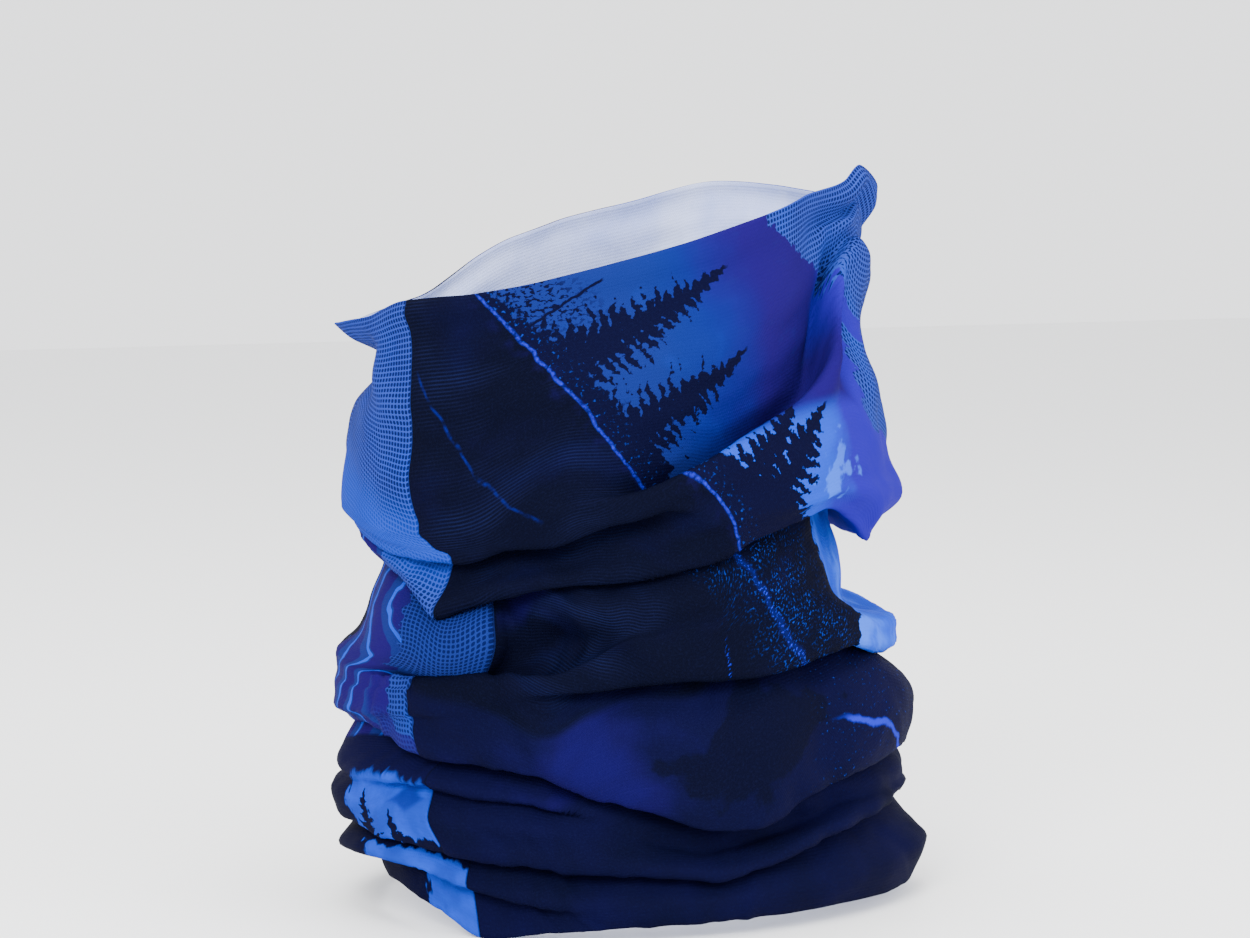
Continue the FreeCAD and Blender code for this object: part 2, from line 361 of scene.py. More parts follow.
def cloth_lines():
    """Every line of the cloth, each with its offset and the angle of the seam there."""
    p = Profile()
    p.add(RIM_Z, RIM_OUT, 16)
    p.add(below(RIM_Z, 4), CUFF_OUT, 17)
    p.add(below(RIM_Z, 10), COLLAR_OUT, 19)
    p.add(between(RIM_Z, SWAG.z, 0.55), FACE_OUT, 21)
    p.rise(SWAG, 22, 23)
    p.add(between(SWAG.z, FIRST.z, 0.35, above=EDGE), SWAG_UPPER_OUT, 25)
    p.add(between(SWAG.z, FIRST.z, 0.7, above=EDGE), SWAG_LOWER_OUT, 27)
    p.drop(FIRST, 31, 30)
    p.add(between(FIRST.z, SECOND.z, 0.6), FIRST_TO_SECOND_OUT, 28)
    p.drop(SECOND, 26, 32)
    p.add(between(SECOND.z, FLAP.z, 0.3, below=0), HOLLOW_UPPER_OUT, 40)
    p.add(between(SECOND.z, FLAP.z, 0.7, below=0), HOLLOW_LOWER_OUT, 40)
    p.rise(FLAP, 30, 20)
    p.drop(THIRD, 19, 19)
    p.add(between(THIRD.z, FOURTH.z, 0.3), BAND_UPPER_OUT, 20)
    p.add(between(THIRD.z, FOURTH.z, 0.65), BAND_LOWER_OUT, 20)
    p.drop(FOURTH, 21, 29)
    p.drop(CREASE, 22, 21)
    p.add(between(CREASE.z, FIFTH.z, 0.5, below=3), CREASE_TO_FIFTH_OUT, 24)
    p.drop(FIFTH, 27, 30)
    p.drop(LOWEST, 32, 31)
    p.add(BOTTOM_Z, BOTTOM_OUT, 35)
    return np.stack(p.points)  # lines x columns x 3


def through(knots, per_gap=24):
    """Centripetal Catmull-Rom curve down each column, through the knots."""
    ends = np.concatenate([2 * knots[:1] - knots[1:2], knots, 2 * knots[-1:] - knots[-2:-1]])
    gaps = np.sqrt(np.linalg.norm(np.diff(ends, axis=0), axis=2)) + 1e-6
    t = np.concatenate([np.zeros((1, gaps.shape[1])), np.cumsum(gaps, axis=0)])[..., None]
    pieces = []
    for i in range(1, len(ends) - 2):
        p0, p1, p2, p3 = ends[i - 1], ends[i], ends[i + 1], ends[i + 2]
        t0, t1, t2, t3 = t[i - 1], t[i], t[i + 1], t[i + 2]
        for share in np.arange(per_gap) / per_gap:
            at = t1 + (t2 - t1) * share
            a1 = p0 + (p1 - p0) * (at - t0) / (t1 - t0)
            a2 = p1 + (p2 - p1) * (at - t1) / (t2 - t1)
            a3 = p2 + (p3 - p2) * (at - t2) / (t3 - t2)
            b1 = a1 + (a2 - a1) * (at - t0) / (t2 - t0)
            b2 = a2 + (a3 - a2) * (at - t1) / (t3 - t1)
            pieces.append(b1 + (b2 - b1) * (at - t1) / (t2 - t1))
    pieces.append(ends[-2])
    return np.stack(pieces)


def resample(curve, rows):
    """The same curves at even steps of their own length, and each column's length."""
    steps = np.linalg.norm(np.diff(curve, axis=0), axis=2)
    along = np.concatenate([np.zeros((1, steps.shape[1])), np.cumsum(steps, axis=0)])
    lengths = along[-1]
    even = np.linspace(0, 1, rows)
    out = np.empty((rows, curve.shape[1], 3))
    for c in range(curve.shape[1]):
        for axis in range(3):
            out[:, c, axis] = np.interp(even * lengths[c], along[:, c], curve[:, c, axis])
    return out, lengths


# Soft ridges (outwards) and hollows (inwards): both ends as (angle, height), then half width and rise.
DENTS = (
    ((-28, 150), (-16, 166), 6, -2.0),
    ((43, 95), (66, 82), 7, 2.5),
    ((46, 88), (58, 82), 6, -3.0),
    ((112, 70), (108, 50), 7, -2.5),
    ((96, 66), (92, 46), 8, 1.5),
    ((100, 38), (112, 24), 4, -1.6),
    ((112, 40), (124, 28), 4, -1.4),
    ((90, 30), (76, 24), 4, 1.5),
    ((22, 34), (48, 32), 4, 1.2),
    ((30, 28), (46, 27), 4, -1.6),
    ((10, 150), (2, 162), 5, 1.5),
    ((4, 140), (14, 128), 9, 1.5),
    ((60, 112), (86, 114), 5, 1.6),
    ((104, 106), (124, 110), 6, -1.5),
    ((120, 150), (108, 130), 9, 1.5),
    ((132, 186), (128, 160), 5, -2.0),
    ((142, 190), (140, 150), 7, 1.5),
    ((150, 160), (146, 120), 9, -1.5),
)
MM_PER_DEGREE = 1.4
FINE_WRINKLE = 0.28  # height of the fine waves, against 1 for the broad ones


def dent(angles, heights):
    """Outward movement that the dents make at these angles and heights."""
    rise = np.zeros_like(angles)
    for (a0, z0), (a1, z1), wide, high in DENTS:
        dx = ((angles - a0 + 180) % 360 - 180) * MM_PER_DEGREE
        ex, ez = (a1 - a0) * MM_PER_DEGREE, z1 - z0
        share = np.clip((dx * ex + (heights - z0) * ez) / (ex * ex + ez * ez), 0, 1)
        away = np.hypot(dx - share * ex, heights - z0 - share * ez)
        rise += high * np.exp(-((away / wide) ** 2))
    return rise


def outward(surface):
    """Unit normals of the grid of points, away from the neck."""
    around_step = np.roll(surface, -1, axis=1) - np.roll(surface, 1, axis=1)
    down_step = np.gradient(surface, axis=0)
    normal = np.cross(down_step, around_step)
    return normal / np.linalg.norm(normal, axis=2, keepdims=True)


def wrinkles(surface, lengths):
    """Small uneven waves that lie mostly across the cloth, in millimetres."""
    rows, columns = surface.shape[:2]
    turn = np.arange(columns) * 2 * math.pi / columns
    radius = CUT_WIDTH / (2 * math.pi)
    height = np.empty((rows, columns))
    for c in range(columns):
        x, y = math.cos(turn[c]) * radius, math.sin(turn[c]) * radius
        for r in range(rows):
            s = r * lengths[c] / rows
            broad = noise.noise(Vector((x / 24, y / 24, s / 11)))
            fine = noise.noise(Vector((x / 9 + 7, y / 9, s / 5)))
            height[r, c] = broad + FINE_WRINKLE * fine
    return height


def shaped(surface, lengths):
    """The folded cloth with its dents and wrinkles."""
    angles = np.degrees(np.arctan2(surface[..., 0], -surface[..., 1]))
    away = surface * (1, 1, 0)
    away /= np.linalg.norm(away, axis=2, keepdims=True)
    surface = surface + away * dent(angles, surface[..., 2])[..., None]
    return surface + outward(surface) * wrinkles(surface, lengths)[..., None]


def link(name, data):
    piece = bpy.data.objects.new(name, data)
    bpy.context.scene.collection.objects.link(piece)
    return piece


def grid_piece(name, points, closed, thickness):
    """A sheet through a grid of points in millimetres, with its cloth coordinates as UV."""
    rows, columns = points.shape[:2]
    spans = columns if closed else columns - 1
    row, column = (a.ravel() for a in np.meshgrid(np.arange(rows - 1), np.arange(spans), indexing="ij"))
    after = (column + 1) % columns
    corners = ((row, column), (row + 1, column), (row + 1, after), (row, after))
    faces = np.stack([r * columns + c for r, c in corners], axis=-1)
    mesh = bpy.data.meshes.new(name)
    mesh.from_pydata((points * MM).reshape(-1, 3).tolist(), [], faces.tolist())
    spread = np.stack([column, column, column + 1, column + 1], axis=-1) / spans
    down = 1 - np.stack([row, row + 1, row + 1, row], axis=-1) / (rows - 1)
    mesh.uv_layers.new(name="cloth").data.foreach_set("uv", np.stack([spread, down], axis=-1).ravel())
    mesh.polygons.foreach_set("use_smooth", np.ones(len(faces), bool))
    piece = link(name, mesh)
    solid = piece.modifiers.new("thickness", "SOLIDIFY")
    solid.thickness = thickness * MM
    solid.offset = -1
    return piece


def cloth_surface():
    """Grid of points down the cloth and round it from the seam, standing on the floor."""
    surface, lengths = resample(through(cloth_lines()), ROWS)
    surface = shaped(surface, lengths)
    surface[..., 2] -= surface[..., 2].min()
    return surface


# ---------------------------------------------------------------------------------------------------
# The overlocked seam on the inside: the turned allowance and its four threads.
# ---------------------------------------------------------------------------------------------------
ALLOWANCE_WIDTH = 5.0
ALLOWANCE_THICKNESS = 0.9
STITCH = 2.6
THREAD_RADIUS = 0.2
SEAM_CLEARANCE = 0.05  # between the cloth's wrong side and the allowance
ALLOWANCE_GRID = (420, 6)  # points down it and across it
ALLOWANCE_START = 1.0  # from each rim
THREAD_START = 2.0
BESIDE = 6  # columns of cloth beside the seam


class Seam:
    """Places points beside the seam: down it, to its side, and inwards from the printed face."""

    def __init__(self, surface):
        normals = outward(surface)
        self.strip = np.concatenate([surface[:, -BESIDE:], surface[:, :1]], axis=1)[:, ::-1]
        self.inwards = -np.concatenate([normals[:, -BESIDE:], normals[:, :1]], axis=1)[:, ::-1]
        steps = np.linalg.norm(np.diff(surface[:, 0], axis=0), axis=1)
        self.down = np.concatenate([[0], np.cumsum(steps)])
        self.length = self.down[-1]

    def place(self, down, aside, depth):
        row = np.interp(down, self.down, np.arange(len(self.down)))
        column = np.asarray(aside) / (CUT_WIDTH / COLUMNS) + 0 * row
        r = np.minimum(row.astype(int), len(self.down) - 2)
        c = np.minimum(column.astype(int), BESIDE - 1)
        fr, fc = (row - r)[:, None], (column - c)[:, None]

        def blend(grid):
            upper = grid[r, c] * (1 - fc) + grid[r, c + 1] * fc
            lower = grid[r + 1, c] * (1 - fc) + grid[r + 1, c + 1] * fc
            return upper * (1 - fr) + lower * fr

        return blend(self.strip) + blend(self.inwards) * (np.asarray(depth) + 0 * row)[:, None]


def seam_allowance(seam):
    """The two cut edges of the panel, laid flat to one side of the seam."""
    down = np.linspace(ALLOWANCE_START, seam.length - ALLOWANCE_START, ALLOWANCE_GRID[0])
    across = np.linspace(ALLOWANCE_WIDTH, 0.1, ALLOWANCE_GRID[1])
    lines = [seam.place(down, aside, CLOTH_THICKNESS + SEAM_CLEARANCE) for aside in across]
    return grid_piece("seam_allowance", np.stack(lines, axis=1), False, ALLOWANCE_THICKNESS)


def stitched_line(seam, name, path):
    """A thread that repeats a path of (down, aside, depth) points once for each stitch."""
    count = int((seam.length - 2 * THREAD_START) / STITCH)
    starts = THREAD_START + STITCH * np.arange(count)
    points = np.array([(start + d, aside, depth) for start in starts for d, aside, depth in path])
    fine = np.linspace(0, len(points) - 1, 2 * len(points) - 1)
    down, aside, depth = (np.interp(fine, np.arange(len(points)), points[:, i]) for i in range(3))
    places = seam.place(down, aside, depth) * MM
    curve = bpy.data.curves.new(name, "CURVE")
    curve.dimensions = "3D"
    curve.bevel_depth = THREAD_RADIUS * MM
    curve.bevel_resolution = 1
    spline = curve.splines.new("POLY")
    spline.points.add(len(places) - 1)
    spline.points.foreach_set("co", np.column_stack([places, np.ones(len(places))]).ravel())
    return link(name, curve)


def seam_threads(seam):
    """The two needle threads and the two looper threads, each with the CAD piece that it replaces."""
    face = CLOTH_THICKNESS + SEAM_CLEARANCE + ALLOWANCE_THICKNESS
    dip, top = face - 0.1, face + 0.22
    needle = ((0.0, dip), (0.4, top), (1.3, top + 0.06), (2.2, top))
    left = [(d, 2.8, z) for d, z in needle]
    right = [(d, 0.8, z) for d, z in needle]
    upper = (
        (0.0, 2.8, face + 0.3),
        (1.0, 5.05, face + 0.2),
        (1.3, 5.3, face - 0.3),
        (1.6, 5.05, face + 0.2),
    )
    lower = (
        (0.0, 5.25, face - 0.7),
        (0.65, 5.4, face - 0.2),
        (1.3, 5.3, face - 0.75),
        (1.95, 5.4, face - 0.2),
    )
    return (
        ("needle_thread_left", stitched_line(seam, "needle_line_left", left)),
        ("needle_thread_right", stitched_line(seam, "needle_line_right", right)),
        ("upper_looper_thread", stitched_line(seam, "upper_looper_line", upper)),
        ("lower_looper_thread", stitched_line(seam, "lower_looper_line", lower)),
    )


# ---------------------------------------------------------------------------------------------------
# The print, drawn in millimetres on the flat cloth: x runs round from the seam, y down from the rim.
# ---------------------------------------------------------------------------------------------------
def srgb(red, green, blue):
    """Scene colour from everyday 0-255 values."""
    shares = [c / 255 for c in (red, green, blue)]
    linear = [((c + 0.055) / 1.055) ** 2.4 if c > 0.04 else c / 12.92 for c in shares]
    return (*linear, 1.0)


NIGHT = srgb(2, 3, 17)
DUSK = srgb(6, 4, 42)
INDIGO = srgb(13, 4, 60)
VIOLET = srgb(21, 4, 73)
BRIGHT_VIOLET = srgb(30, 14, 126)
BLUE = srgb(8, 17, 90)
SKY = srgb(16, 27, 86)
BRIGHT_SKY = srgb(16, 54, 166)
PALE_SKY = srgb(52, 102, 214)
MESH_LIGHT = srgb(32, 50, 128)
MESH_DARK = srgb(2, 7, 50)
GLOW = srgb(24, 32, 168)
ROW_GLEAM = srgb(40, 48, 110)
# Painted sheen colour: faint lighter grey-blue flecks.
PAINTED_SHEEN_FLECK = srgb(42, 52, 116)
THREAD = srgb(20, 40, 130)
WRONG_SIDE = srgb(172, 182, 214)
SHOW_THROUGH = srgb(104, 120, 184)

DOT_PITCH = 1.32  # of the halftone
BRANCH_SPACING = 3.1  # along a spruce's trunk
ROW_PITCH = 0.95  # of the knit's courses
WALE_PITCH = 0.62
KNIT_RELIEF = 0.00008  # metres
PLY_RELIEF = 0.00005
PANEL_START = 426.0  # how far round the side panel starts
NAPE = 215.0  # how far round the nape is, where the scenes turn back
LAKE_END = 118.0  # how far down the lake scene ends
FOREST_END = 184.0


class Value:
    """A number worked out by nodes at each point of the cloth."""

    def __init__(self, graph, socket):
        self.graph = graph
        self.socket = socket

    def __add__(self, other):
        return self.graph.maths("ADD", self, other)

    def __radd__(self, other):
        return self.graph.maths("ADD", other, self)

    def __sub__(self, other):
        return self.graph.maths("SUBTRACT", self, other)

    def __rsub__(self, other):
        return self.graph.maths("SUBTRACT", other, self)

    def __mul__(self, other):
        return self.graph.maths("MULTIPLY", self, other)

    def __rmul__(self, other):
        return self.graph.maths("MULTIPLY", other, self)

    def __truediv__(self, other):
        return self.graph.maths("DIVIDE", self, other)

    def __neg__(self):
        return self.graph.maths("MULTIPLY", self, -1.0)

    def __abs__(self):
        return self.graph.maths("ABSOLUTE", self)


class Graph:
    """Adds nodes to a material's tree."""

    def __init__(self, tree):
        self.tree = tree
        self.uv = self.node("ShaderNodeUVMap", uv_map="cloth").outputs[0]

    def node(self, kind, **settings):
        node = self.tree.nodes.new(kind)
        for name, value in settings.items():
            setattr(node, name, value)
        return node

    def plug(self, socket, value):
        if isinstance(value, Value):
            self.tree.links.new(value.socket, socket)
        else:
            socket.default_value = value

    def maths(self, operation, *values):
        node = self.node("ShaderNodeMath", operation=operation)
        for socket, value in zip(node.inputs, values):
            self.plug(socket, value)
        return Value(self, node.outputs[0])

    def ramp(self, value, low, high):
        """Smooth 0 to 1 as the value goes from low to high."""
        node = self.node("ShaderNodeMapRange", interpolation_type="SMOOTHSTEP")
        for name, given in (("Value", value), ("From Min", low), ("From Max", high)):
            self.plug(node.inputs[name], given)
        return Value(self, node.outputs[0])

    def inside(self, value, low, high, soft=1.0):
        """1 where the value lies between low and high."""
        half = soft / 2
        return self.ramp(value, low - half, low + half) * self.ramp(-value, -high - half, -high + half)

    def noise(self, size, seed, detail, across=1.0, down=1.0):
        """Smooth unevenness of about -1 to 1, with lumps of this many millimetres."""
        where = self.node("ShaderNodeMapping")
        self.tree.links.new(self.uv, where.inputs["Vector"])
        lumps = (CUT_WIDTH * across / size, CLOTH_LENGTH * down / size, 1.0)
        where.inputs["Scale"].default_value = lumps
        where.inputs["Location"].default_value = (3.7 * seed, 1.3 * seed, seed)
        node = self.node("ShaderNodeTexNoise", noise_dimensions="3D")
        self.tree.links.new(where.outputs[0], node.inputs["Vector"])
        node.inputs["Scale"].default_value = 1.0
        node.inputs["Detail"].default_value = detail
        return (Value(self, node.outputs[0]) - 0.5) * 3.0

    def most(self, a, b):
        return self.maths("MAXIMUM", a, b)

    def least(self, a, b):
        return self.maths("MINIMUM", a, b)

    def mix(self, first, second, share):
        node = self.node("ShaderNodeMix", data_type="RGBA")
        self.plug(node.inputs[0], share)
        self.plug(node.inputs[6], first)
        self.plug(node.inputs[7], second)
        return Value(self, node.outputs[2])


def conifer(g, x, y, base, tip, spread, seed):
    """Silhouette of a spruce from its base to its tip, spread millimetres to each side at the base."""
    length = math.dist(base, tip)
    ax, ay = (tip[0] - base[0]) / length, (tip[1] - base[1]) / length
    along = ((x - base[0]) * ax + (y - base[1]) * ay) / length
    across = (y - base[1]) * ax - (x - base[0]) * ay
    off = abs(across)
    side = g.maths("SIGN", across)
    sway = g.noise(6.0, seed, 1.0)
    swept = (along - off * (0.3 / length)) * (length / BRANCH_SPACING)
    branch = g.maths("FRACT", swept + side * 0.21 + sway * 0.5 + 20.0)
    reach = (1.02 - along) * spread * (1.0 + 0.55 * g.noise(4.5, seed + 5, 0.0)) + 0.5
    needles = g.noise(1.2, seed + 2, 2.0)
    shape = 1.0 - off / reach - 0.62 * abs(branch * 2.0 - 1.0) + 0.42 * needles
    return g.ramp(shape, 0.0, 0.12) * g.inside(along, -0.02, 1.02, 0.04)


def mesh_dots(g, x, y):
    """Halftone of dark dots on light blue, with dots that swell and shrink across the cloth."""
    dx = abs(g.maths("FRACT", x / DOT_PITCH + 400.0) - 0.5)
    dy = abs(g.maths("FRACT", y / DOT_PITCH + 400.0) - 0.5)
    corner = g.maths("POWER", g.maths("POWER", dx, 3.0) + g.maths("POWER", dy, 3.0), 1 / 3)
    size = 0.35 + 0.05 * g.noise(16.0, 3, 0.0)
    dots = g.ramp(size - corner, -0.06, 0.06)
    light = g.mix(MESH_LIGHT, BRIGHT_SKY, g.ramp(g.noise(22.0, 8, 1.0), 0.0, 1.4) * 0.7)
    return g.mix(light, MESH_DARK, dots * 0.92)


def night_ground(g, x, y):
    """Near-black ground with violet haze and thin streaks."""
    haze = g.ramp(g.noise(34.0, 1, 3.0, down=1.6), -0.1, 1.1)
    colour = g.mix(NIGHT, DUSK, haze * 0.55)
    path = abs(x - 7.5 - 0.72 * (y - 26.0) + 1.2 * g.noise(9.0, 4, 2.0))
    broken = g.ramp(g.noise(3.0, 6, 2.0), -0.5, 0.6)
    path_light = g.ramp(-path, -0.9, 0.0) * broken * g.inside(y, 20.0, 66.0, 6.0)
    colour = g.mix(colour, GLOW, path_light * 0.22)
    rows = g.maths("POWER", abs(g.maths("FRACT", y / ROW_PITCH + 60.0) - 0.5) * 2.0, 2.0)
    gleam = g.ramp(g.noise(16.0, 12, 3.0, across=0.5), -0.4, 1.4) * g.inside(x, 2.0, 60.0, 14.0)
    return g.mix(colour, ROW_GLEAM, rows * gleam * 0.26)


def sky_colour(g, x, y):
    """Light blue by the shore, deeper further out, then violet."""
    drift_noise = g.noise(26.0, 2, 3.0)
    deep = g.ramp(x + 9.0 * drift_noise - 0.1 * y, 62.0, 92.0)
    violet = g.ramp(x + 8.0 * drift_noise - 0.25 * y, 76.0, 100.0)
    colour = g.mix(g.mix(SKY, BLUE, deep * 0.8), VIOLET, violet)
    pale = g.ramp(g.noise(15.0, 7, 2.0), 0.2, 1.0)
    colour = g.mix(colour, BRIGHT_SKY, pale * 0.18 * (1.0 - violet))
    wisps = g.ramp(g.noise(5.0, 16, 3.0, across=0.5), 0.2, 1.2)
    return g.mix(colour, SKY, wisps * 0.35)


def lake_scene(g, x, y):
    """Upper half: dark lake, bright shoreline, spruces against the sky."""
    shore = x - 26.0 - 0.63 * y + 1.1 * g.noise(7.0, 9, 3.0)
    sky = sky_colour(g, x, y)
    # Partly print and partly painted light: on the swag the sky is printed light blue, turning violet
    # past x 118 to 132, and is made brighter where the swag faces the light.
    swag_sky_and_painted_light = g.most(g.inside(y, 74.0, 125.0, 6.0), g.ramp(x, 132.0, 142.0))
    haze = g.ramp(g.noise(24.0, 18, 4.0, down=1.5), 0.1, 1.3) * g.ramp(x, 150.0, 165.0)
    far = g.mix(BRIGHT_VIOLET, INDIGO, haze)
    lit = g.mix(BRIGHT_SKY, far, g.ramp(x + 6.0 * g.noise(12.0, 17, 3.0), 118.0, 132.0))
    sky = g.mix(sky, lit, swag_sky_and_painted_light * 0.9)
    puff = g.noise(5.0, 15, 4.0) * 1.3 + 1.0 - abs(x - 123.0) / 11.0 - abs(y - 92.0) / 8.0
    sky = g.mix(sky, PALE_SKY, g.ramp(puff, 0.0, 0.5) * 0.5)
    trees = conifer(g, x, y, (35, 29), (92, 9), 19.0, 1)
    trees = g.most(trees, conifer(g, x, y, (52, 55), (96, 30), 21.0, 2))
    trees = g.most(trees, conifer(g, x, y, (83, 104), (120, 74), 25.0, 3))
    trees = g.most(trees, conifer(g, x, y, (76, 100), (109, 71), 22.0, 37))
    undergrowth = 5.5 + 0.1 * y + 8.0 * g.ramp(y, 80.0, 96.0)
    scrub = g.ramp(g.noise(2.6, 20, 3.0) * 5.5 + undergrowth - shore, 0.0, 1.4)
    twigs = g.ramp(g.noise(1.5, 23, 2.0, down=1.4), 0.05, 0.2) * g.inside(x, 24.0, 62.0, 10.0)
    twigs = twigs * g.ramp(-y, -20.0, -9.0) * g.ramp(-shore, -30.0, -16.0)
    stem = abs(y - 4.0 + 0.42 * (x - 58.0) + 0.5 * g.noise(3.0, 24, 2.0))
    twigs = g.most(twigs, g.ramp(-stem, -0.55, -0.3) * g.inside(x, 36.0, 59.0, 1.0))
    dark = g.most(g.most(trees, scrub), twigs)
    frost = g.ramp(g.noise(1.1, 31, 2.0), 0.25, 0.8)
    frost = frost * g.ramp(-shore, -10.0, -1.0) * g.ramp(shore, 0.0, 1.0)
    sky = g.mix(sky, g.mix(NIGHT, DUSK, 0.3), dark)
    sky = g.mix(sky, BRIGHT_SKY, frost * 0.6)
    scene = g.mix(night_ground(g, x, y), sky, g.ramp(shore, -0.3, 0.5))
    grain = g.ramp(g.noise(1.3, 33, 2.0), -0.6, 0.7)
    scene = g.mix(scene, GLOW, g.ramp(-abs(shore), -0.9, -0.1) * (0.1 + 0.8 * grain))
    halo = g.ramp(-abs(shore + 1.0), -6.0, 0.0) * g.ramp(g.noise(4.0, 35, 3.0), -0.2, 1.0)
    return g.mix(scene, INDIGO, halo * 0.4)


def forest_scene(g, x, y):
    """Middle of the cloth: frosted forest above a dark slope, with light sky beyond."""
    colour = night_ground(g, x, y + 80.0)
    streak = abs(x - 20.0 + 1.2 * (y - 132.0) + 3.0 * g.noise(8.0, 41, 2.0))
    colour = g.mix(colour, INDIGO, g.ramp(-streak, -7.0, 0.0) * g.inside(y, 118.0, 146.0, 10.0) * 0.5)
    edge = x - 93.0 - 0.56 * (y - 140.0) + 1.5 * g.noise(6.0, 42, 3.0)
    flakes = g.ramp(g.noise(0.8, 43, 2.0), 0.1, 0.6)
    near = g.ramp(-edge, -34.0, -2.0) * g.ramp(edge, -14.0, 3.0)
    clumps = g.ramp(g.noise(6.0, 44, 3.0), -0.5, 0.7)
    colour = g.mix(colour, BRIGHT_SKY, flakes * near * clumps * 0.85)
    edge_light = g.ramp(-abs(edge), -1.6, 0.0) * (0.1 + 0.8 * flakes)
    colour = g.mix(colour, GLOW, edge_light * g.inside(y, 120.0, 180.0, 8.0))
    beyond = g.ramp(x - 134.0 + 5.0 * g.noise(3.5, 45, 4.0), -0.4, 0.4) * g.inside(y, 118.0, 182.0, 5.0)
    far_sky = g.mix(BRIGHT_SKY, PALE_SKY, g.ramp(g.noise(12.0, 46, 3.0), -0.2, 0.6) * 0.6)
    colour = g.mix(colour, far_sky, beyond)
    line = abs(x - 85.5 - 0.12 * (y - 158.0) + 0.8 * g.noise(5.0, 47, 2.0))
    return g.mix(colour, GLOW, g.ramp(-line, -0.7, 0.0) * g.inside(y, 150.0, 168.0, 3.0) * flakes)


def slope_scene(g, x, y):
    """Lower half: violet cloud over a dark slope."""
    wave = g.noise(30.0, 51, 4.0)
    cloud = g.ramp(wave + 0.9 - abs(x - 44.0) / 46.0 - abs(y - 212.0) / 30.0, -0.3, 0.9)
    colour = g.mix(g.mix(NIGHT, DUSK, 0.45 + 0.3 * wave), INDIGO, cloud * 0.75)
    patch = 1.0 - abs(x - 92.0) / 27.0 - abs(y - 207.0) / 17.0 + 0.35 * g.noise(7.0, 52, 4.0)
    colour = g.mix(colour, NIGHT, g.ramp(patch, -0.05, 0.12) * 0.75)
    brook = x - 121.0 - 2.0 * (y - 212.0) + 3.0 * g.noise(7.0, 53, 3.0)
    specks = g.ramp(g.noise(0.9, 54, 2.0), 0.4, 1.0)
    colour = g.mix(colour, GLOW, g.ramp(-abs(brook), -2.6, -0.6) * g.inside(y, 212.0, 238.0, 3.0) * 0.8)
    specks = specks * g.ramp(x, 104.0, 122.0) * g.inside(y, 196.0, 262.0, 14.0)
    colour = g.mix(colour, BRIGHT_SKY, specks * 0.8)
    below = g.ramp(y, 236.0, 252.0)
    dim = g.mix(NIGHT, DUSK, 0.35 + 0.45 * g.noise(24.0, 55, 3.0))
    return g.mix(colour, dim, below * 0.8)


def side_panel(g, x, y):
    """The print's other end, where x is negative: halftone, contour bands, then a row of trees."""
    bend = x + 7.0 * g.maths("SINE", (y - 128.0) / 8.5) + 4.0 * g.noise(14.0, 61, 2.0)
    band = g.maths("FRACT", (bend + 200.0) / 15.0)
    light = g.ramp(-abs(band - 0.5), -0.24, -0.21)
    inner = g.ramp(-abs(band - 0.62), -0.07, -0.05)
    light = light * g.ramp(-x, 17.0, 21.0)
    waves = g.mix(g.mix(VIOLET, INDIGO, 0.2), g.mix(SKY, BRIGHT_SKY, inner), light)
    dots = mesh_dots(g, x, y)
    # Painted light: the halftone is made lighter from 52 to 100 mm down, standing in for light on this
    # underlit part of the cloth.
    dots = g.mix(dots, BRIGHT_SKY, g.inside(y, 52.0, 100.0, 16.0) * 0.45)
    # Painted shade: the halftone darkens below 112 mm down, on the flap that lies under the fold above
    # it.
    dots = g.mix(dots, MESH_DARK, g.ramp(y, 112.0, 128.0) * 0.35)
    torn = 4.5 * g.noise(3.2, 62, 4.0)
    upper = g.ramp(-(y - 92.0) + torn, -0.3, 0.3)
    flap = g.ramp(x + 27.0 + torn, -0.3, 0.3) * g.ramp(-(y - 166.0), -0.5, 0.5)
    patch = g.ramp(x + 9.0 + torn * 0.5, -0.3, 0.3) * g.inside(y, 180.0, 201.0, 1.0)
    fading = g.inside(y, 196.0, 214.0, 6.0) * g.ramp(x, -26.0, -14.0) * 0.35
    colour = g.mix(waves, dots, g.most(g.most(upper, flap), g.most(patch, fading)))
    # Painted shade: the flap's halftone is darker still from 136 to 168 mm down, where it lies in the
    # fold's shadow.
    colour = g.mix(colour, MESH_DARK, g.inside(y, 136.0, 168.0, 8.0) * g.ramp(x, -34.0, -24.0) * 0.4)
    sky = g.mix(SKY, BRIGHT_SKY, 0.5 + 0.5 * g.ramp(g.noise(10.0, 63, 3.0), -0.5, 0.6))
    sky = g.mix(sky, BLUE, g.ramp(1.0 - abs(x + 10.0) / 9.0 - abs(y - 251.0) / 5.0, 0.0, 0.5) * 0.7)
    ragged = g.noise(3.4, 64, 3.0, down=0.4)
    woods = g.ramp(y - 262.0 + 5.0 * ragged, 0.0, 1.0) * g.ramp(-(y - 285.0) + 2.0 * ragged, 0.0, 1.0)
    woods = g.most(woods, g.ramp(-(x + 38.0) + 6.0 * ragged, 0.0, 1.0))
    woods = g.most(woods, g.ramp(-(x + 17.0) + 4.0 * ragged, 0.0, 1.0) * g.ramp(y, 294.0, 298.0))
    woods = g.most(woods, conifer(g, x, y, (-33.0, 277.0), (-29.0, 244.0), 12.0, 66))
    woods = g.most(woods, conifer(g, x, y, (-21.0, 279.0), (-17.0, 254.0), 10.0, 67))
    lower = g.mix(sky, g.mix(NIGHT, DUSK, 0.3), woods)
    lower = g.mix(g.mix(NIGHT, DUSK, 0.6), lower, g.ramp(y + 3.0 * ragged, 236.0, 239.0))
    return g.mix(colour, lower, g.ramp(y, 222.0, 224.0))


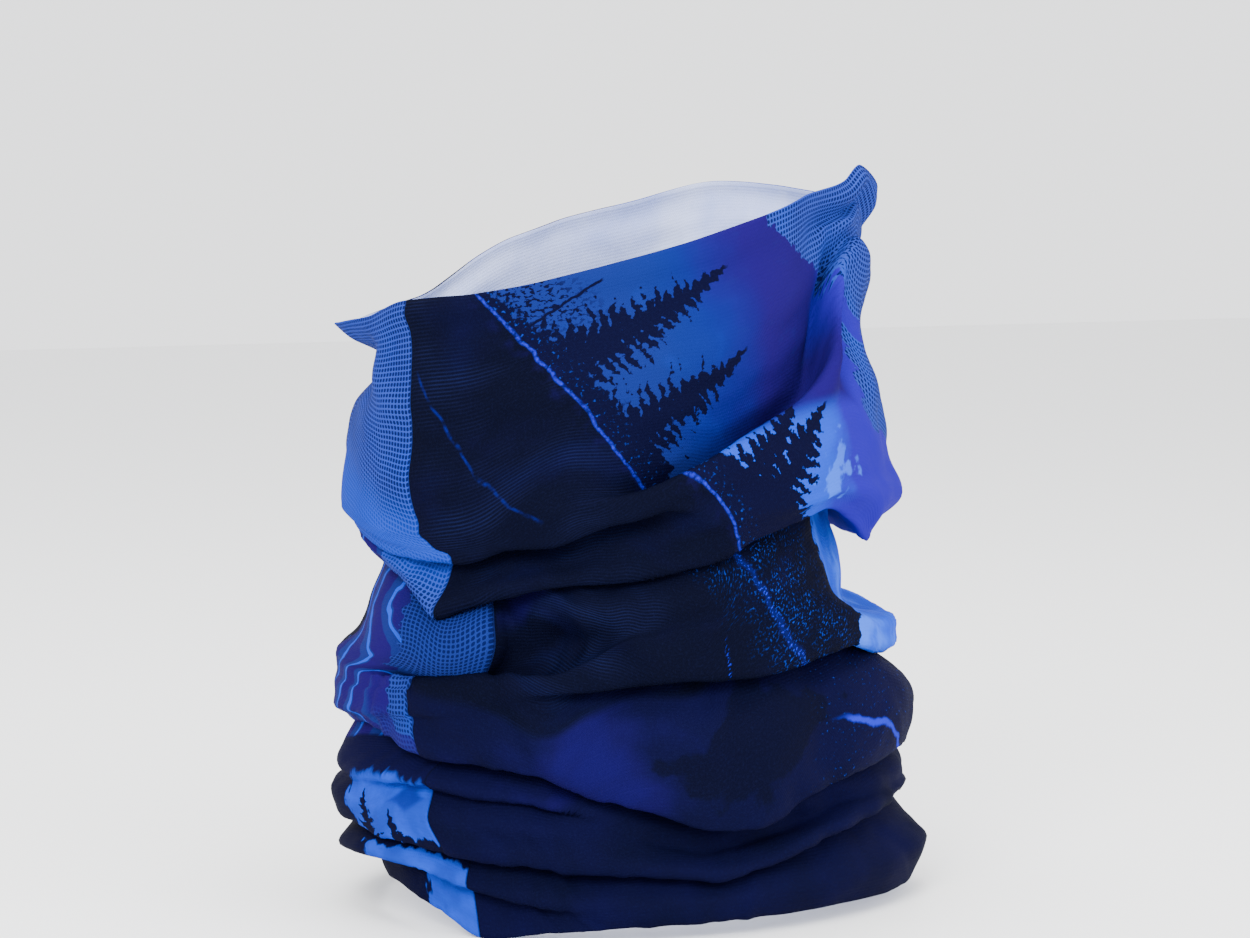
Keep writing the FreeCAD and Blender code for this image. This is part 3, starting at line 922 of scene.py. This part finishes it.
def nape_mesh(g, x, y):
    """Where the halftone shows again, with a torn edge, at the wearer's nape."""
    torn = 3.6 * g.noise(3.2, 71, 4.0)
    border = 106.0 + 36.0 * g.ramp(y, -4.0, 30.0)
    upper = g.ramp(x - border + torn, -0.3, 0.3) * g.ramp(-(y - 45.0) + 0.4 * torn, -0.3, 0.3)
    lower = g.ramp(x - 144.0 + torn, -0.3, 0.3) * g.inside(y + 0.4 * torn, 51.0, 75.0, 0.6)
    return g.most(upper, lower)


def print_colour(g, round_x, y):
    """Colour of the printed side at x round the cloth from the seam and y down it."""
    past = g.most(round_x - NAPE, 0.0)
    turned = g.maths("SINE", past * (math.pi / NAPE))
    x = round_x - 2.0 * past
    y_scene = y + 18.0 * turned
    forest = g.ramp(y_scene, LAKE_END, LAKE_END + 3.0)
    slope = g.ramp(y_scene, FOREST_END, FOREST_END + 4.0)
    scene = g.mix(lake_scene(g, x, y_scene), forest_scene(g, x, y_scene), forest)
    scene = g.mix(scene, slope_scene(g, x, y_scene), slope)
    scene = g.mix(scene, mesh_dots(g, x, y), nape_mesh(g, x, y_scene))
    panel_edge = g.ramp(round_x - PANEL_START + 5.0 * g.noise(4.0, 81, 4.0), -0.3, 0.3)
    scene = g.mix(scene, side_panel(g, round_x - CUT_WIDTH, y), panel_edge)
    # Painted sheen: faint random lighter flecks over the whole print.
    scene = g.mix(scene, PAINTED_SHEEN_FLECK, g.ramp(g.noise(0.7, 97, 2.0), -0.3, 1.2) * 0.03)
    # Painted shade: the print darkens within half a millimetre of the seam, where the seam's crease
    # lies in shadow.
    from_seam = g.least(round_x, CUT_WIDTH - round_x)
    return g.mix(scene, NIGHT, g.ramp(-from_seam, -0.5, -0.2) * 0.6)


def cloth_position(g):
    """Where a point of the cloth lay on the flat piece, in millimetres."""
    apart = g.node("ShaderNodeSeparateXYZ")
    g.tree.links.new(g.uv, apart.inputs[0])
    across = Value(g, apart.outputs[0]) * CUT_WIDTH
    down = (1.0 - Value(g, apart.outputs[1])) * CLOTH_LENGTH
    return across, down


def knit_bump(g, x, y, strength):
    """Normal of a fine jersey knit: close wales, and a slightly uneven surface."""
    wales = g.maths("SINE", x * (2 * math.pi / WALE_PITCH))
    courses = g.maths("SINE", y * (2 * math.pi / ROW_PITCH) + wales * 0.8)
    height = wales * courses * 0.6 + courses * 0.5 + g.noise(1.6, 91, 2.0) * 0.8
    seam = g.ramp(-g.least(x, CUT_WIDTH - x), -1.1, 0.0) * -3.0
    node = g.node("ShaderNodeBump")
    node.inputs["Strength"].default_value = strength
    node.inputs["Distance"].default_value = KNIT_RELIEF
    g.plug(node.inputs["Height"], height + seam)
    return Value(g, node.outputs[0])


def knit_material(name, colour_of, bump):
    material = bpy.data.materials.new(name)
    material.use_nodes = True
    g = Graph(material.node_tree)
    shader = material.node_tree.nodes["Principled BSDF"]
    x, y = cloth_position(g)
    g.plug(shader.inputs["Base Color"], colour_of(g, x, y))
    g.plug(shader.inputs["Normal"], knit_bump(g, x, y, bump))
    shader.inputs["Roughness"].default_value = 0.8
    shader.inputs["Specular IOR Level"].default_value = 0.025
    return material


def plain_side(g, x, y):
    """The unprinted wrong side: pale blue-grey with the print showing through faintly."""
    through = g.ramp(g.noise(30.0, 95, 4.0), -0.7, 0.8)
    return g.mix(WRONG_SIDE, SHOW_THROUGH, through * 0.7)


def thread_material():
    """Twisted polyester sewing thread."""
    material = bpy.data.materials.new("sewing_thread")
    material.use_nodes = True
    g = Graph(material.node_tree)
    shader = material.node_tree.nodes["Principled BSDF"]
    where = g.node("ShaderNodeTexCoord").outputs["Object"]
    twist = g.node("ShaderNodeTexWave")
    g.tree.links.new(where, twist.inputs["Vector"])
    twist.inputs["Scale"].default_value = 900.0
    twist.inputs["Distortion"].default_value = 3.0
    ply = Value(g, twist.outputs[1])
    g.plug(shader.inputs["Base Color"], g.mix(THREAD, BRIGHT_SKY, ply * 0.5))
    bump = g.node("ShaderNodeBump")
    bump.inputs["Strength"].default_value = 0.4
    bump.inputs["Distance"].default_value = PLY_RELIEF
    g.plug(bump.inputs["Height"], ply)
    g.plug(shader.inputs["Normal"], Value(g, bump.outputs[0]))
    shader.inputs["Roughness"].default_value = 0.55
    shader.inputs["Specular IOR Level"].default_value = 0.3
    return material


def make_gaiter():
    surface = cloth_surface()
    printed = knit_material("printed_knit", print_colour, 0.5)
    wrong_side = knit_material("knit_wrong_side", plain_side, 0.6)
    tube = grid_piece("printed_tube", surface, True, CLOTH_THICKNESS)
    tube.modifiers["thickness"].material_offset = 1
    tube.data.materials.append(printed)
    tube.data.materials.append(wrong_side)
    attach(tube, "root")
    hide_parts("printed_panel")

    seam = Seam(surface)
    allowance = seam_allowance(seam)
    allowance.data.materials.append(wrong_side)
    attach(allowance, "root")

    sewing = thread_material()
    for node, thread in seam_threads(seam):
        thread.data.materials.append(sewing)
        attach(thread, "root")
        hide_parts(node)


# ---------------------------------------------------------------------------------------------------
# Floor, light and camera, in metres.
# ---------------------------------------------------------------------------------------------------
FLOOR_REACH = 3
FLOOR_COLOUR = (0.85, 0.85, 0.85, 1)
WORLD_COLOUR = (0.97, 0.98, 1, 1)
WORLD_STRENGTH = 2.2
LIGHT_AIM = Vector((0, 0, 0.1))
LIGHTS = (  # name, place, size, power
    ("key", (0.9, -0.9, 0.9), 0.8, 36),
    ("fill", (1.2, 0.6, 0.5), 1.2, 22),
    ("top", (0, 0, 1.4), 1.0, 22),
)
CAMERA_AZIMUTH = 62.0
CAMERA_ELEVATION = 5.0
CAMERA_DISTANCE = 1.05
CAMERA_LENS = 101.5
CAMERA_AIM = Vector((-0.001, -0.002, 0.1265))


def make_floor():
    near, far = -FLOOR_REACH, FLOOR_REACH
    corners = [(near, near, 0), (far, near, 0), (far, far, 0), (near, far, 0)]
    mesh = bpy.data.meshes.new("floor")
    mesh.from_pydata(corners, [], [(0, 1, 2, 3)])
    pale = bpy.data.materials.new("pale_floor")
    pale.use_nodes = True
    pale.node_tree.nodes["Principled BSDF"].inputs["Base Color"].default_value = FLOOR_COLOUR
    mesh.materials.append(pale)
    link("floor", mesh)


def facing(direction):
    """Rotation that turns a lamp or camera to look along a direction."""
    return direction.to_track_quat("-Z", "Y").to_euler()


def make_camera():
    data = bpy.data.cameras.new("camera")
    data.lens = CAMERA_LENS
    data.sensor_width = 36
    camera = link("camera", data)
    turn, lift = math.radians(CAMERA_AZIMUTH), math.radians(CAMERA_ELEVATION)
    back = Vector((math.sin(turn) * math.cos(lift), -math.cos(turn) * math.cos(lift), math.sin(lift)))
    camera.location = CAMERA_AIM + back * CAMERA_DISTANCE
    camera.rotation_euler = facing(-back)
    bpy.context.scene.camera = camera


def area_light(name, place, size, power):
    data = bpy.data.lights.new(name, "AREA")
    data.shape = "DISK"
    data.size = size
    data.energy = power
    light = link(name, data)
    light.location = place
    light.rotation_euler = facing(LIGHT_AIM - Vector(place))


def make_world():
    world = bpy.data.worlds.new("studio")
    world.use_nodes = True
    background = world.node_tree.nodes["Background"]
    background.inputs["Color"].default_value = WORLD_COLOUR
    background.inputs["Strength"].default_value = WORLD_STRENGTH
    bpy.context.scene.world = world


make_gaiter()
make_floor()
make_camera()
for light in LIGHTS:
    area_light(*light)
make_world()
